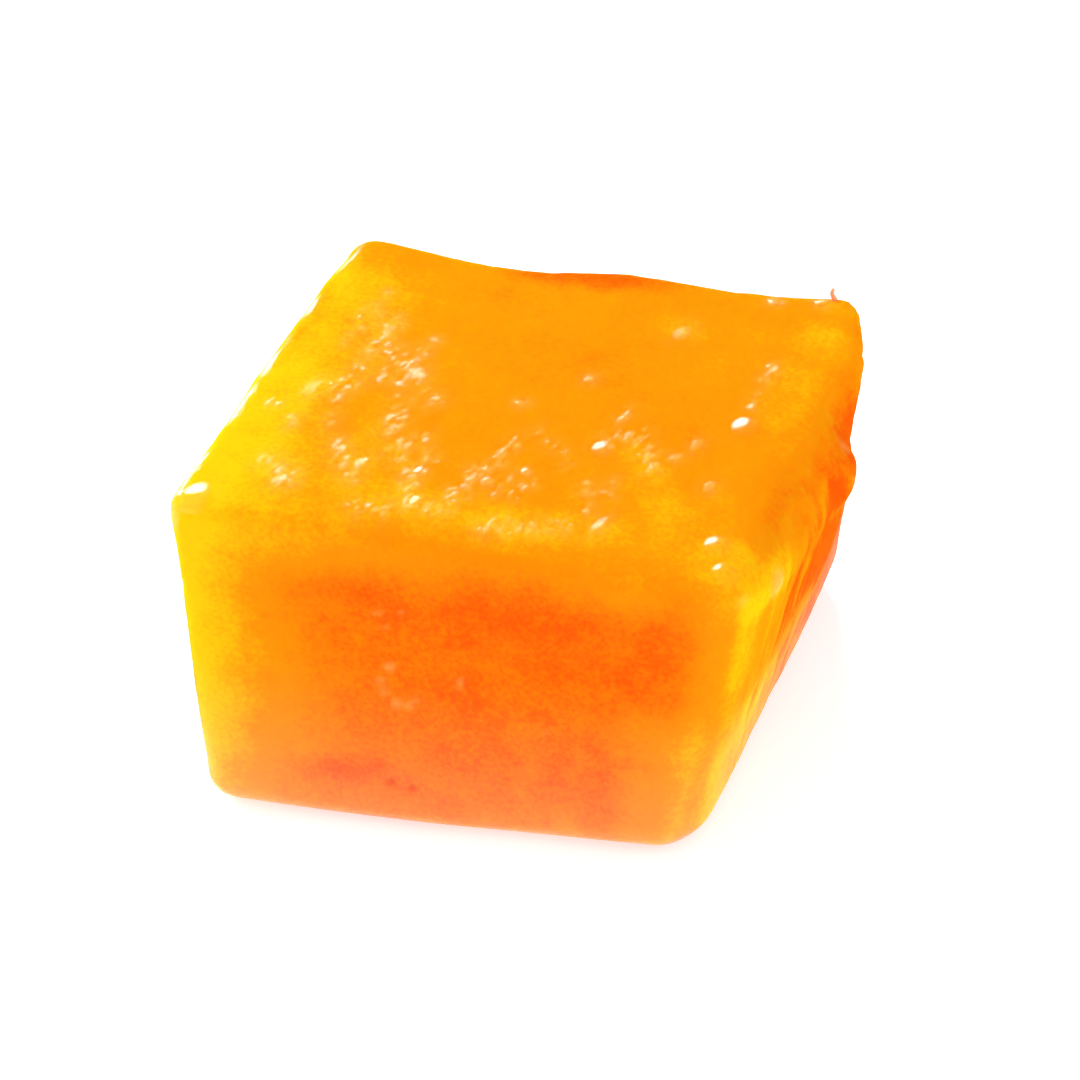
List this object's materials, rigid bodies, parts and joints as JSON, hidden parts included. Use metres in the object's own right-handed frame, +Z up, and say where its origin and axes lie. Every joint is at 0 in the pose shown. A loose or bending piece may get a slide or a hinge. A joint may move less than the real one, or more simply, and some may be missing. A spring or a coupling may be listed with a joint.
{
  "type": "papaya cube",
  "caption": "Diced cube of ripe papaya flesh with hand-cut leaning sides, soft rounded edges and a flat underside to rest on.",
  "frame": {"origin": "on the flat underside, below the middle of the block's bounding box", "axes": "+X to the right along the longest side, +Y to the back, +Z up from the flat underside"},
  "size_m": [0.0308, 0.0252, 0.0188],
  "materials": {
    "flesh": "wet translucent papaya flesh, yellow-orange at the rims and top, deeper orange on the cut sides"
  },
  "bodies": {
    "root": {"papaya_cube": "flesh"}
  },
  "joints": []
}
